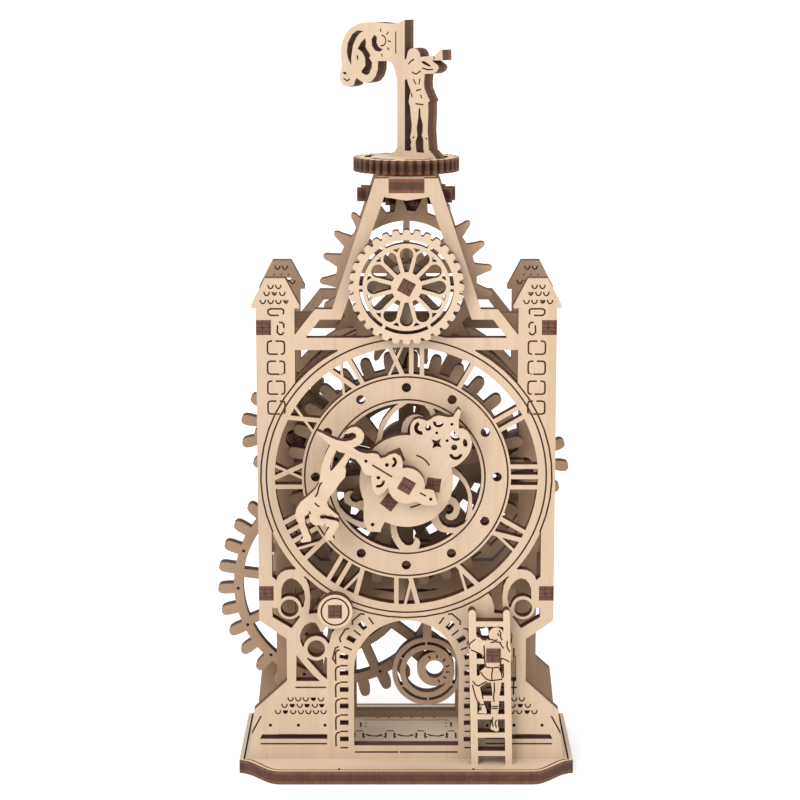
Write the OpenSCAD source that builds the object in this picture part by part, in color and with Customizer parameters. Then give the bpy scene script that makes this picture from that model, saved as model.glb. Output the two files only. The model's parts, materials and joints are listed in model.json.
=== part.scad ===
// Laser-cut plywood clock tower with a hand-turned gear train.
// The facade stands in the XZ plane and its front looks along -Y.
// Origin: middle of the underside of the base plate, +Z up, millimetres.

/* [Sheet] */
// Thickness of the plywood sheet
ply = 3; // [2.9:0.05:3]
// Side of the square axles and pegs
axle = 3; // [2.8:0.05:3]
// Radial clearance between an axle's corners and its round bore
bore_gap = 0.08; // [0.05:0.01:0.1]

/* [Base] */
// Width of the base plate
base_w = 72.8; // [72:0.2:80]
// Depth of the base plate
base_d = 47.4; // [47:0.2:52]

/* [Tower] */
// Distance from the front of the facade to the back of the rear plate
tower_d = 32.4; // [32.4:0.1:34]
// Half width of the tower body
body_x = 31.8; // [31.6:0.1:33]
// Height of the eaves of the corner turrets
eave_z = 102.5; // [102:0.1:104]
// Height of the flat roof tops of the corner turrets
roof_z = 108.9; // [108:0.1:112]
// Height of the top of the gable
gable_z = 129.9; // [129.9:0.1:130]
// Half width of the arch doorway
arch_x = 11.35; // [11:0.05:11.5]
// Height of the middle of the arch's half circle
arch_z = 23; // [22.8:0.1:23.2]
// Height of the sill under the arch
sill_z = 6.1; // [5:0.1:7]

/* [Dial] */
// Height of the dial's centre
dial_z = 66.1; // [66:0.05:66.2]
// Outer radius of the dial
dial_r = 31.2; // [31:0.1:31.4]
// Inner radius of the numeral ring
numeral_r = 28.1; // [27.8:0.1:28.4]
// Outer radius of the minute ring
minute_r = 22.35; // [22:0.05:22.6]
// Inner radius of the minute ring
inner_r = 16.05; // [15.8:0.05:16.4]

/* [Gears] */
// Height of the rose wheel's axle
upper_z = 107.4; // [107.3:0.05:107.5]
// Sideways place of the drive axle
drive_x = -15.3; // [-15.4:0.05:-15.2]
// Height of the drive axle
drive_z = 37.2; // [37.1:0.05:37.3]
// Teeth of the drive gear
drive_n = 32; // [32:1:32]
// Teeth of the left idler gear
left_n = 14; // [14:1:14]
// Teeth of the gear on the minute axle that meets the crown gear
centre_n = 30; // [30:1:30]
// Teeth of the upright crown gear in the gable
crown_n = 21; // [21:1:21]
// Teeth of the flat gear under the turning platform
flat_n = 12; // [12:1:12]

/* [Hidden] */

$fn = 64;
veneer = [0.88, 0.78, 0.64];
inner_veneer = [0.70, 0.55, 0.40];
burnt = [0.33, 0.19, 0.13];

// Front faces of the layers, from the facade backwards
front_y = -15.7;
train_y = -9.2;
bearing_y = -5.8;
pinion_y = -0.4;
drive_y = 3.8;
back_y = front_y + tower_d - ply;
swing_y = -2.6;
rose_y = front_y - ply - 0.2;
hour_y = -19.8;
minute_y = -24.3;
ladder_y = -19.5;
cap_y = back_y + ply + 0.2;

// Heights of the flat layers at the top
top_z = 126.8;
flat_z = 123.6;
platform_z = top_z + ply + 0.3;
platform_y = 0.5;

bore_r = axle / sqrt(2) + bore_gap;
foot_z = ply;
left_x = -24.0;
right_x = 25.6;
swing_x = 4.7;
swing_z = 42.4;
peg_x = 18.75;
peg_z = 27.65;

// Pitch radii of the meshing pairs
drive_left = norm([left_x - drive_x, 35.2]);
left_z = drive_z + 35.2;
drive_rp = drive_left * drive_n / (drive_n + left_n);
left_rp = drive_left - drive_rp;
left_minute = norm([left_x, left_z - dial_z]);
pinion_n = 10;
minute_n = 22;
pinion_rp = left_minute * pinion_n / (pinion_n + minute_n);
minute_rp = left_minute - pinion_rp;
right_n = 11;
right_rp = right_x - minute_rp;
centre_rp = (upper_z - dial_z) * centre_n / (centre_n + crown_n);
crown_rp = upper_z - dial_z - centre_rp;

// Rest phases: the angle of one tooth, seen from the front
drive_phase = 2.4;
to_left = atan2(left_z - drive_z, left_x - drive_x);
left_phase = mate(drive_phase, drive_n, left_n, to_left);
pinion_phase = 0;
to_dial = atan2(dial_z - left_z, -left_x);
minute_phase = mate(pinion_phase, pinion_n, minute_n, to_dial);
right_phase = mate(minute_phase, minute_n, right_n, 0);
crown_phase = 180.3;
centre_phase = mate(crown_phase, crown_n, centre_n, 270);
crown_lean = crown_phase - 5 * 360 / crown_n - 90;
flat_phase = 270 - crown_lean * crown_n / flat_n + 180 / flat_n;

// Angle of a tooth of gear b in mesh with gear a, whose centre lies at angle d from a
function mate(pa, na, nb, d) = d + 180 - 360 / nb * (0.5 - (d - pa) * na / 360);
function ray(r, a) = [r * cos(a), r * sin(a)];
// Half a tooth angle at step f of the rounded tip, 90 degrees being its point
function tip(rp, add, c, h, e, f) = ray(rp + add * sin(f), c - sign(cos(f)) * h * pow(abs(cos(f)), e));
function tooth(rp, add, ded, c, hr, h, e) = concat(
  [ray(rp - ded, c - hr)],
  [for (f = [0, 35, 62, 90, 118, 145, 180]) tip(rp, add, c, h, e, f)],
  [ray(rp - ded, c + hr)]);
function gear_points(n, rp, add, ded, wr, w, e, phase) = [for (i = [0:n - 1])
  each tooth(rp, add, ded, phase + i * 360 / n, wr * 180 / n, w * 180 / n, e)];

// Flat shape from any list of points, always run counter-clockwise
function sum(v) = v * [for (x = v) 1];
function cross_at(p, i) = cross(p[i], p[(i + 1) % len(p)]);
function turn(p) = sum([for (i = [0:len(p) - 1]) cross_at(p, i)]);
function back_to_front(p) = [for (i = [len(p) - 1:-1:0]) p[i]];
function flip(p) = [for (q = back_to_front(p)) [-q[0], q[1]]];
module poly(p) {
  polygon(turn(p) < 0 ? back_to_front(p) : p);
}
module both(p) {
  poly(p);
  poly(flip(p));
}

// Gear outline: wr and w are the tooth's share of the pitch at its foot and on the pitch circle
module gear_2d(n, rp, add, ded, wr, w, e, phase) {
  poly(gear_points(n, rp, add, ded, wr, w, e, phase));
}
module finger_gear(n, rp, phase) {
  gear_2d(n, rp, 1.65, 1.95, 0.5, 0.47, 0.8, phase);
}
module ring_2d(r1, r2) {
  difference() {
    circle(r = r1);
    circle(r = r2);
  }
}
// Ring sector from angle a1 to a2
module arc_2d(r1, r2, a1, a2) {
  steps = 8;
  intersection() {
    ring_2d(r1, r2);
    poly(concat([[0, 0]], [for (i = [0:steps]) ray(r1 * 1.3, a1 + (a2 - a1) * i / steps)]));
  }
}
// Bar of width w between two points
module bar_2d(a, b, w) {
  d = norm(b - a);
  translate(a) rotate(atan2(b[1] - a[1], b[0] - a[0])) translate([0, -w / 2]) square([d, w]);
}
// Rounded limb from a point with radius ra to a point with radius rb
function round_end(c, r, a) = [for (i = [0:6]) c + ray(r, a + 30 * i)];
module limb_2d(a, b, ra, rb) {
  d = atan2(b[1] - a[1], b[0] - a[0]);
  poly(concat(round_end(b, rb, d - 90), round_end(a, ra, d + 90)));
}
module square_2d(s) {
  square([s, s], center = true);
}
// Upright plate whose front face is at y, drawn in facade coordinates
module sheet(y, t = ply) {
  translate([0, y + t, 0]) rotate([90, 0, 0]) linear_extrude(t) children();
}
// Flat plate whose underside is at z
module slab(z, t = ply) {
  translate([0, 0, z]) linear_extrude(t) children();
}
module axle_bar(x, z, y1, y2, a) {
  translate([x, y1, z]) rotate([-90, 0, 0]) rotate(-a) linear_extrude(y2 - y1) square_2d(axle);
}
module mirror_pair() {
  children();
  mirror([1, 0]) children();
}
module corner_notch(z) {
  translate([body_x - 3.2, z]) square([4, 3.2]);
}
function half_points() = [[34.3, foot_z], [33.1, 14.2], [25.9, 20.8], [25.9, 30.2], [body_x, 34.4],
  [body_x, eave_z], [32.75, eave_z], [32.75, eave_z + 0.7], [29.75, roof_z], [25.6, roof_z],
  [22.6, eave_z + 0.7], [22.6, eave_z], [23.65, eave_z],
  [23.65, 96.8], [19.3, 102.3], [15.7, 102.3], [6.6, gable_z]];
module outline_2d() {
  poly(concat(half_points(), flip(half_points())));
}
// Opening inside the gable legs, above the cross beam
module gable_opening() {
  poly([[-4.7, 126], [0, 125.25], [4.7, 126], [13.8, 100.1], [18.3, 100.1], [21.3, 96.2],
    [-21.3, 96.2], [-18.3, 100.1], [-13.8, 100.1]]);
}
module arch_opening(x, z, low) {
  translate([0, z]) circle(r = x);
  translate([-x, low]) square([2 * x, z - low]);
}
module feet_2d() {
  for (x = [-26, 26]) translate([x - 4, 0]) square([8, foot_z + 1]);
}

// One numeral bar: from a at the inner circle to b at the outer circle
module stroke_2d(a, b, w) {
  poly([[a - w / 2, minute_r - 0.3], [b - w / 2, numeral_r + 0.3],
    [b + w / 2, numeral_r + 0.3], [a + w / 2, minute_r - 0.3]]);
}
function glyph_w(c) = c == "I" ? 2.25 : 4.3;
function lead(s, i) = i == 0 ? 0 : lead(s, i - 1) + glyph_w(s[i - 1]);
module glyph_2d(c, x) {
  if (c == "I") stroke_2d(x, x, 0.95);
  if (c == "V") stroke_2d(x + 0.3, x - 1.45, 1.05);
  if (c == "V") stroke_2d(x - 0.1, x + 1.45, 0.6);
  if (c == "X") stroke_2d(x + 1.45, x - 1.45, 1.05);
  if (c == "X") stroke_2d(x - 1.45, x + 1.45, 0.6);
}
module numeral_2d(s) {
  total = lead(s, len(s));
  for (i = [0:len(s) - 1]) glyph_2d(s[i], lead(s, i) + glyph_w(s[i]) / 2 - total / 2);
}
module numerals_2d() {
  marks = ["I", "II", "III", "IV", "V", "VI", "VII", "VIII", "IX", "X", "XI", "XII"];
  for (h = [0:11]) rotate(-30 * (h + 1)) numeral_2d(marks[h]);
}
// Thin arcs and curls that join the hub ring to the minute ring
module dial_arms_2d() {
  poly([[-1.2, 16.2], [-2.6, 15.3], [-4, 13.75], [-5, 12.4], [-5.8, 10.7], [-6.3, 8.4], [-7, 6.5],
    [-5.4, 6.9], [-5.1, 9], [-4.8, 10.4], [-4, 12], [-3, 13.5], [-1.9, 14.6], [-0.4, 15.6], [0.5, 16.2]]);
  poly([[-1, 8], [-1.05, 10.4], [-0.7, 11.8], [0.1, 12.9], [1.2, 13.5], [2.4, 13.6], [3.4, 13.3],
    [3.9, 12.8], [3.2, 12.3], [2.3, 12.5], [1.4, 12.3], [0.7, 11.7], [0.3, 10.7], [0.3, 8]]);
  poly([[3.4, 16], [4.9, 14.2], [5.3, 12.6], [4.8, 11], [4.6, 7], [6.2, 6], [6.4, 11], [6.5, 13],
    [6.1, 14], [5.5, 15.6]]);
  // right arc
  poly([[7.9, 2.9], [10.4, 1.9], [11.6, 0.8], [12.7, -0.6], [13.5, -2.2], [14, -4], [14.1, -6],
    [14.2, -8.4], [12.6, -9.6], [13.1, -7.5], [13.3, -5.9], [13.2, -4], [12.8, -2.6], [12.1, -1.3],
    [11.2, -0.3], [10.2, 0.4], [7.9, 0.9]]);
  // lower right: outer band, then its curl
  poly([[13.4, -9.6], [12, -10.5], [10.6, -11.15], [9, -11.1], [7.8, -10.5], [7.1, -9.4], [6.9, -8.6],
    [7.2, -5.6], [5.6, -5.9], [4.4, -7.4], [5.6, -10.3], [6.4, -11.4], [7.4, -12], [8.8, -12.3],
    [10.6, -12.4], [12.4, -11.4]]);
  poly([[8, -3], [9.6, -4.3], [10.6, -4.8], [11.2, -5.7], [11.5, -6.8], [11.3, -8], [10.7, -9],
    [9.8, -9.5], [9, -9.4], [8.4, -8.9], [8.5, -8.1], [9.1, -8.2], [9.8, -7.9], [10.2, -7.1],
    [10, -6.3], [9.3, -5.9], [8.6, -6.2], [7, -5]]);
  // bottom hook
  poly([[-3.4, -8], [-3.4, -11], [-3.3, -12.3], [-2.8, -13.9], [-2, -15.2], [-1.2, -16.2], [2.2, -16.2],
    [2.8, -15.4], [3, -14.4], [2.6, -13.6], [1.8, -13.2], [1.75, -14], [1.4, -14.8], [0.7, -15.1],
    [-0.1, -15], [-0.9, -14.3], [-1.6, -13.1], [-2, -11.8], [-2.1, -10.6], [-2.1, -8]]);
  // left curl and the arc below it
  poly([[-8, -5.2], [-9.9, -5.2], [-10.8, -5.6], [-11.6, -5.3], [-12.1, -4.5], [-11.9, -3.8],
    [-11.3, -3.2], [-12.1, -3], [-12.9, -3.4], [-13.4, -4.3], [-13.2, -5.6], [-12, -6.4],
    [-10.4, -7], [-6.6, -8]]);
  poly([[-15.9, -2.4], [-14.9, -2.6], [-14.8, -5], [-14.2, -6.6], [-13, -8], [-11.4, -9.2],
    [-9.6, -9.9], [-6, -9], [-6, -10], [-9.2, -11.3], [-10.8, -10.7], [-12.3, -9.8], [-13.8, -8.7],
    [-15.9, -5.5]]);
}
module dial_2d() {
  ring_2d(dial_r, numeral_r);
  difference() {
    ring_2d(minute_r, inner_r);
    for (h = [0:11]) rotate(30 * h) translate([19.4, 0]) circle(r = 1, $fn = 24);
  }
  numerals_2d();
  intersection() {
    ring_2d(inner_r + 0.3, 8.8);
    dial_arms_2d();
  }
  ring_2d(9.6, 8.05);
}
// Scroll work between the dial, the outer wall and the arch, drawn on the left side
module upper_curl() {
  translate([-25.2, 37.2]) circle(r = 2.55);
}
module lower_curl() {
  translate([-19.5, 28.1]) circle(r = 2.75);
}
module scroll_openings() {
  mirror_pair() {
    translate([-25.2, 37.1]) circle(r = 1.95);
    translate([-19.5, 28]) circle(r = 1.9);
  }
  // around the upper ring, inside its tall arch
  difference() {
    both([[-27, 38.6], [-26.9, 41.4], [-26.5, 42.6], [-25.7, 43.5], [-24.7, 43.8], [-23.6, 43.3],
      [-22.6, 42.2], [-22, 40.9], [-21.8, 39.3], [-22.2, 37.3], [-24, 37.2], [-26, 37.6]]);
    mirror_pair() upper_curl();
  }
  difference() {
    both([[-28.9, 37.2], [-28.9, 35.1], [-24.8, 32.6], [-22.9, 35.2], [-24, 36.2], [-27, 37]]);
    mirror_pair() upper_curl();
  }
  // beside the outer wall, up to the dial
  both([[-28.9, 55], [-28.9, 44.1], [-28, 43.3], [-27.7, 44.2], [-27, 45], [-26.1, 45.5],
    [-25, 45.7], [-24, 45.7], [-20, 47], [-24, 55]]);
  // between the tall arch and the drive axle's boss
  both([[-21.8, 44], [-21, 42.1], [-20.7, 39.8], [-20.8, 37.7], [-21.1, 35.8], [-19, 36], [-18.9, 37.7],
    [-18.4, 39.4], [-17.5, 40.6], [-16, 44]]);
  // around the lower ring
  difference() {
    both([[-22.4, 28.4], [-22.9, 29.6], [-23, 31.1], [-22.6, 32.3], [-21.9, 33.3], [-20.7, 34],
      [-19.6, 33.8], [-19, 32.9], [-18.6, 31.9], [-18, 31.8], [-17.4, 32.9], [-16.6, 32.5], [-15.4, 32.4],
      [-16.1, 31.5], [-16.7, 29.2], [-18, 29]]);
    mirror_pair() lower_curl();
  }
  // window with its diagonal brace
  both([[-23.8, 26.6], [-23.9, 20.7], [-18.7, 20.7], [-20.4, 22.3], [-22.1, 24.3]]);
  difference() {
    both([[-21.6, 25.9], [-20, 24], [-18.4, 22.1], [-17.2, 21.1], [-17.2, 26], [-19.5, 27]]);
    mirror_pair() lower_curl();
  }
}
module shingle_cut(x, z) {
  translate([x, z]) poly([[-0.62, 0.4], [0.62, 0.4], [0.52, -0.05], [0.28, -0.36], [0, -0.45],
    [-0.28, -0.36], [-0.52, -0.05]]);
}
module skirt_cuts() {
  for (p = [[-20.2, 16.6], [-24.8, 15.15], [-21.6, 15.15], [-18.4, 15.15], [-26.3, 13.7]]) shingle_cut(p[0], p[1]);
}
module skirt_openings() {
  both([[-31.9, 7.6], [-31.4, 8.7], [-17.2, 8.7], [-17.2, 7.6]]);
  for (x = [-29.6, -23.5, -17.7, 17.7, 23.5, 29.6]) translate([x, 10.7]) circle(r = 0.35, $fn = 16);
}
module arch_holes() {
  for (i = [0:4]) translate([-13.5, 7.6 + 3.74 * i]) square([1.9, 1.15], center = true);
  for (a = [166.4, 149, 133]) translate([0, arch_z]) rotate(a) translate([13.9, 0])
    square([1.9, 1.15], center = true);
}
module front_2d() {
  difference() {
    union() {
      outline_2d();
      translate([0, dial_z]) circle(r = dial_r);
    }
    difference() {
      gable_opening();
      translate([0, dial_z]) circle(r = dial_r);
      translate([0, upper_z]) circle(r = 4.6);
      translate([-12, upper_z - 1.4]) square([24, 2.8]);
      translate([-1.6, 96]) square([3.2, 8]);
    }
    difference() {
      both([[-23.6, 93.6], [-23.6, 80], [-10, 93.6]]);
      translate([0, dial_z]) circle(r = dial_r);
    }
    translate([0, dial_z]) circle(r = numeral_r);
    difference() {
      arch_opening(arch_x, arch_z, sill_z);
      translate([0, dial_z]) circle(r = dial_r);
    }
    scroll_openings();
    skirt_openings();
    mirror_pair() {
      arch_holes();
      corner_notch(96.8);
      corner_notch(38.8);
    }
    shingle_cut(-27.8, 105.6);
    shingle_cut(-25.4, 103.9);
    shingle_cut(28.7, 103.9);
    shingle_cut(26.2, 105.6);
    mirror_pair() skirt_cuts();
    translate([-3.75, top_z]) square([7.5, 6]);
    translate([peg_x, peg_z]) square_2d(3.1);
  }
  translate([0, dial_z]) dial_2d();
  feet_2d();
}
module bore_at(x, z) {
  translate([x, z]) circle(r = bore_r);
}
module front_plate() {
  color(veneer) sheet(front_y) difference() {
    front_2d();
    bore_at(0, upper_z);
    bore_at(drive_x, drive_z);
  }
}
// The rear dial is a ring with six arms, a hub and pads for the two idler axles
module back_dial_openings() {
  translate([0, dial_z]) difference() {
    circle(r = 27.6);
    circle(r = 6.2);
    for (a = [0, 62, 90, 166, 204, 270]) rotate(a) translate([4, -1.7]) square([26, 3.4]);
    ring_2d(17.4, 15.2);
    translate([right_x, 0]) circle(r = 4.2);
    translate([left_x, left_z - dial_z]) circle(r = 4.2);
  }
}
// Leafy edge of the rear skirt
module leaf_2d() {
  both([[25, 21], [25.9, 18.8], [31.2, 12.9], [29, 12.7], [31.6, 6.2], [31.2, 4], [25, 4]]);
  mirror_pair() {
    translate([27.4, 23]) circle(r = 1.7, $fn = 24);
    translate([26.6, 26]) circle(r = 1.3, $fn = 24);
    translate([25.4, 24]) circle(r = 1.3, $fn = 24);
  }
}
module back_plate() {
  color(inner_veneer) sheet(back_y) difference() {
    union() {
      outline_2d();
      leaf_2d();
      translate([0, dial_z]) circle(r = dial_r);
      feet_2d();
    }
    difference() {
      gable_opening();
      translate([0, upper_z]) circle(r = 4.6);
      translate([-12, upper_z - 1.4]) square([24, 2.8]);
      translate([-1.6, 96]) square([3.2, 8]);
    }
    difference() {
      both([[-23.6, 93.6], [-23.6, 80], [-10, 93.6]]);
      translate([0, dial_z]) circle(r = dial_r);
    }
    back_dial_openings();
    arch_opening(arch_x, arch_z, sill_z - 1.7);
    mirror_pair() {
      translate([-19, 12]) square([5, 14]);
      corner_notch(96.8);
      corner_notch(38.8);
    }
    shingle_cut(-26.2, 104.6);
    translate([-3.75, top_z]) square([7.5, 6]);
    bore_at(0, upper_z);
    bore_at(0, dial_z);
    bore_at(drive_x, drive_z);
    bore_at(left_x, left_z);
    bore_at(right_x, dial_z);
  }
}
// Inner plate: two side strips, four arms that carry the axles and a low bridge
module bearing_plate() {
  color(inner_veneer) sheet(bearing_y) difference() {
    union() {
      intersection() {
        translate([0, dial_z]) ring_2d(31, 28.3);
        translate([-28.6, 30]) square([57.2, 70]);
      }
      for (x = [-28.6, 24.4]) translate([x, foot_z]) square([4.2, 97]);
      translate([-28.6, 96.8]) square([57.2, 3.2]);
      translate([-28.6, 38.8]) square([57.2, 6.2]);
      translate([0, dial_z]) for (a = [0, 90, 166, 270]) rotate(a) translate([4, -1.6]) square([25, 3.2]);
      translate([0, dial_z]) circle(r = 6);
      translate([left_x, left_z]) circle(r = 4);
      translate([right_x, dial_z]) circle(r = 4);
      translate([swing_x, swing_z]) circle(r = 3.8);
      for (x = [-26.5, 26.5]) translate([x - 2.1, 0]) square([4.2, foot_z + 1]);
    }
    bore_at(0, dial_z);
    bore_at(left_x, left_z);
    bore_at(right_x, dial_z);
    translate([drive_x, drive_z]) circle(r = 4.6);
    translate([swing_x, swing_z]) circle(r = 1.5);
  }
}
module base_plate() {
  c = base_w / 2;
  d = base_d / 2;
  s = 7.4;
  color(veneer) difference() {
    slab(0) union() {
      square([base_w - 18, base_d], center = true);
      square([base_w, base_d - 2 * s], center = true);
      for (i = [-1, 1]) for (j = [-1, 1]) scale_corner(i, j, c, d, s);
    }
    slots_in_base();
  }
}
// S-curved corner, drawn as a run of short chords
module scale_corner(i, j, c, d, s) {
  p = concat([[c - 9.5, d - s - 1], [c - 9.5, d]],
    [for (k = [0:10]) [c - 9 + 9 * k / 10, d - s * (1 - cos(18 * k)) / 2]], [[c, d - s - 1]]);
  poly([for (q = p) [i * q[0], j * q[1]]]);
}
module slots_in_base() {
  for (x = [-26, 26]) for (y = [front_y, back_y])
    translate([x - 4, y, -1]) cube([8, ply, ply + 2]);
  for (x = [-26.5, 26.5]) translate([x - 2.1, bearing_y, -1]) cube([4.2, ply, ply + 2]);
  for (x = [-10.6, -3.6, 3.3, 10.2]) translate([x - 0.8, 3.1, -1]) cube([1.6, 0.7, ply + 2]);
}
module top_plate() {
  color(veneer) difference() {
    slab(top_z) union() {
      translate([-6.2, front_y + ply]) square([12.4, tower_d - 2 * ply]);
      translate([-3.75, front_y]) square([7.5, tower_d]);
    }
    translate([0, platform_y, top_z - 1]) cylinder(r = bore_r, h = ply + 2);
  }
}
module side_beam(side, z, long = tower_d) {
  color(burnt) translate([side > 0 ? body_x - 3.2 : -body_x, front_y, z]) cube([3.2, long, 3.2]);
}
module pendulum_pin() {
  color(burnt) translate([swing_x, bearing_y, swing_z]) rotate([-90, 0, 0]) cylinder(r = 1.5, h = 8.2);
}
// Ladder and climber are one plate
module ladder_climber() {
  color(veneer) sheet(ladder_y) difference() {
    union() {
      poly([[13.3, 37.1], [13.6, 37.6], [14.1, 37.8], [14.6, 37.6], [14.9, 37.1], [15.6, foot_z], [14.1, foot_z]]);
      poly([[20.75, 37.1], [21, 37.6], [21.5, 37.8], [22, 37.6], [22.2, 37.1], [23, foot_z], [21.5, foot_z]]);
      for (i = [0:7]) translate([14.2, 34.05 - 4.15 * i]) square([7.9, 1.15]);
      climber_2d();
    }
    translate([peg_x, peg_z]) square_2d(3.1);
  }
}
module climber_2d() {
  translate([19.3, 32.3]) circle(r = 1.6, $fn = 32);
  poly([[19.9, 31.8], [20.6, 32.6], [21.2, 31.4], [21.4, 29.6], [20.9, 28.9], [20.2, 30]]);
  // bent arm on the left rail, then the body and the other arm
  poly([[17.6, 31.2], [16.2, 31.3], [15.8, 31.9], [15.1, 32.1], [14.7, 31.4], [13.6, 30.5], [13.1, 29.8],
    [13.4, 28.9], [14.5, 28.4], [15.9, 27.9], [16.4, 27.3], [17.6, 28.6]]);
  poly([[17.2, 31.1], [21.2, 30.7], [21, 28], [20.5, 26], [20, 24.6], [17, 24.6], [16.7, 26.5], [16.6, 28.6]]);
  poly([[20.8, 30.5], [22, 31.8], [22.4, 30], [22.6, 28], [22.3, 26], [21.2, 26.6], [20.3, 27]]);
  // shorts and the two legs
  poly([[17, 25], [20, 25], [20.8, 23.4], [20.9, 22.1], [18, 21.8], [17.2, 22.2], [16, 23], [15.8, 24]]);
  poly([[16.4, 23.5], [15.2, 23], [14.3, 22.1], [13.8, 21], [14.1, 20.4], [15.7, 20.4], [16.6, 21.1], [18.2, 22]]);
  poly([[14, 21.2], [14.5, 19], [15.1, 17.5], [15.9, 16.5], [15.9, 15.3], [15.5, 14.7], [17.4, 14.6],
    [17.3, 15.4], [16.8, 16.8], [16.5, 17.9], [16.3, 19.3], [15.7, 20.9]]);
  poly([[18.1, 22.6], [18.5, 20], [18.6, 18.5], [18.3, 17], [18.4, 16], [18.3, 15], [18.5, 13],
    [18.2, 11.1], [19.5, 10.5], [20.1, 10.8], [19.8, 12], [19.8, 14.5], [20, 16], [20, 18],
    [20.3, 20], [20.6, 22.6]]);
}
module ladder_peg() {
  color(burnt) translate([peg_x - 1.55, ladder_y - 0.2, peg_z - 1.55])
    cube([3.1, front_y + ply - ladder_y + 0.2, 3.1]);
}

module drive_gear() {
  color(inner_veneer) sheet(drive_y) translate([drive_x, drive_z]) difference() {
    union() {
      difference() {
        finger_gear(drive_n, drive_rp, drive_phase);
        circle(r = drive_rp - 1.95 - 2.1);
      }
      ring_2d(15.8, 14);
      circle(r = 5);
      for (i = [0:11]) rotate(173 + 30 * i) translate([0, -0.95]) square([drive_rp - 3, 1.9]);
    }
    for (i = [0:15]) rotate(drive_phase + 22.5 * i) translate([drive_rp - 2.9, 0]) circle(r = 0.35, $fn = 16);
    square_2d(axle);
  }
}
module drive_axle() {
  color(burnt) axle_bar(drive_x, drive_z, rose_y, cap_y + ply, 0);
}
module round_disc(x, z, y, r, a) {
  sheet(y) translate([x, z]) difference() {
    circle(r = r);
    rotate(a) square_2d(axle);
  }
}
module drive_axle_disc() {
  color(veneer) round_disc(drive_x, drive_z, rose_y, 3.75, 0);
}
module drive_axle_cap() {
  color(veneer) round_disc(drive_x, drive_z, cap_y, 3.75, 0);
}
module left_axle() {
  color(burnt) axle_bar(left_x, left_z, bearing_y, back_y + ply, 20);
}
module left_gear() {
  color(inner_veneer) sheet(drive_y) translate([left_x, left_z]) difference() {
    finger_gear(left_n, left_rp, left_phase);
    rotate(20) square_2d(axle);
    for (i = [0:5]) rotate(60 * i) translate([5.6, 0]) circle(r = 1.6, $fn = 24);
  }
}
module left_pinion() {
  color(inner_veneer) sheet(pinion_y) translate([left_x, left_z]) difference() {
    finger_gear(pinion_n, pinion_rp, pinion_phase);
    rotate(20) square_2d(axle);
  }
}
module minute_axle() {
  color(burnt) axle_bar(0, dial_z, minute_y, cap_y + ply, 60);
}
module minute_axle_cap() {
  color(veneer) round_disc(0, dial_z, cap_y, 3.75, 60);
}
module centre_gear() {
  color(inner_veneer) sheet(train_y) translate([0, dial_z]) difference() {
    finger_gear(centre_n, centre_rp, centre_phase);
    for (i = [0:5]) rotate(60 * i + 12) difference() {
      arc_2d(20, 7, 6, 54);
      translate([16.4, 9.5]) circle(r = 2.6, $fn = 24);
    }
    rotate(60) square_2d(axle);
  }
}
module minute_gear() {
  color(inner_veneer) sheet(pinion_y) translate([0, dial_z]) difference() {
    finger_gear(minute_n, minute_rp, minute_phase);
    for (i = [0:4]) rotate(72 * i) arc_2d(12.6, 5.6, 8, 62);
    rotate(60) square_2d(axle);
  }
}
// Hand pointing to the upper left, with the hanging figure in the same plate
module minute_hand() {
  color(veneer) sheet(minute_y) translate([0, dial_z]) difference() {
    union() {
      circle(r = 3.85);
      blade_2d();
      poly([[1.5, -0.8], [4.5, -0.7], [5.7, -1], [6.1, -2], [6.6, -3.6], [6.3, -4.15], [4.5, -4.25],
        [3.2, -4], [1.2, -3]]);
      hanging_figure_2d();
    }
    rotate(60) square_2d(axle);
    translate([-8.5, 5.3]) circle(r = 0.35, $fn = 16);
    translate([5.1, -2.9]) circle(r = 0.35, $fn = 16);
    translate([-3.2, 5.1]) arc_2d(1.2, 0.6, -80, 70);
    translate([-4.1, 4.5]) circle(r = 0.42, $fn = 16);
    translate([-5.9, 0.95]) arc_2d(1.35, 0.75, -115, 10);
    translate([-5.9, 1.75]) circle(r = 0.4, $fn = 16);
  }
}
// Blade with two lobes at its root and a hook behind its point
module blade_2d() {
  poly([[-1, 2], [-0.8, 4.4], [-0.85, 5.4], [-1.3, 6.4], [-2.4, 7], [-3.5, 6.7], [-4.5, 6.1], [-5.4, 5.9],
    [-6, 6.8], [-7, 7], [-8.4, 6.9], [-9.6, 7.2], [-10.4, 7.6], [-11.2, 8.2], [-10.2, 8.6], [-9.3, 9.3],
    [-8.9, 10.3], [-8.9, 11.2], [-9.5, 12.1], [-10.5, 12.65], [-11.6, 12.5], [-12.5, 11.95],
    [-13, 11.2], [-12.2, 11.15], [-11.3, 11.45], [-10.6, 11.1], [-10.5, 10.4], [-11.5, 9.75],
    [-13, 9.5], [-14.5, 9.75], [-16, 10.4], [-17.5, 11.2], [-18.8, 11.8], [-18, 10.6], [-16.8, 9.4],
    [-15.6, 8.5], [-14.2, 7.3], [-12.6, 6.9], [-11.8, 6.1], [-10.6, 5.6], [-9.7, 4.4], [-9.2, 3.2],
    [-8.8, 2.5], [-8, 2.2], [-7.4, 2.2], [-7.35, 0.6], [-7.1, -0.8], [-6.5, -1.7], [-5.8, -2],
    [-4.8, -1.5], [-4.1, -0.6], [-3.4, 0.2], [-1, 0]]);
}
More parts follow.
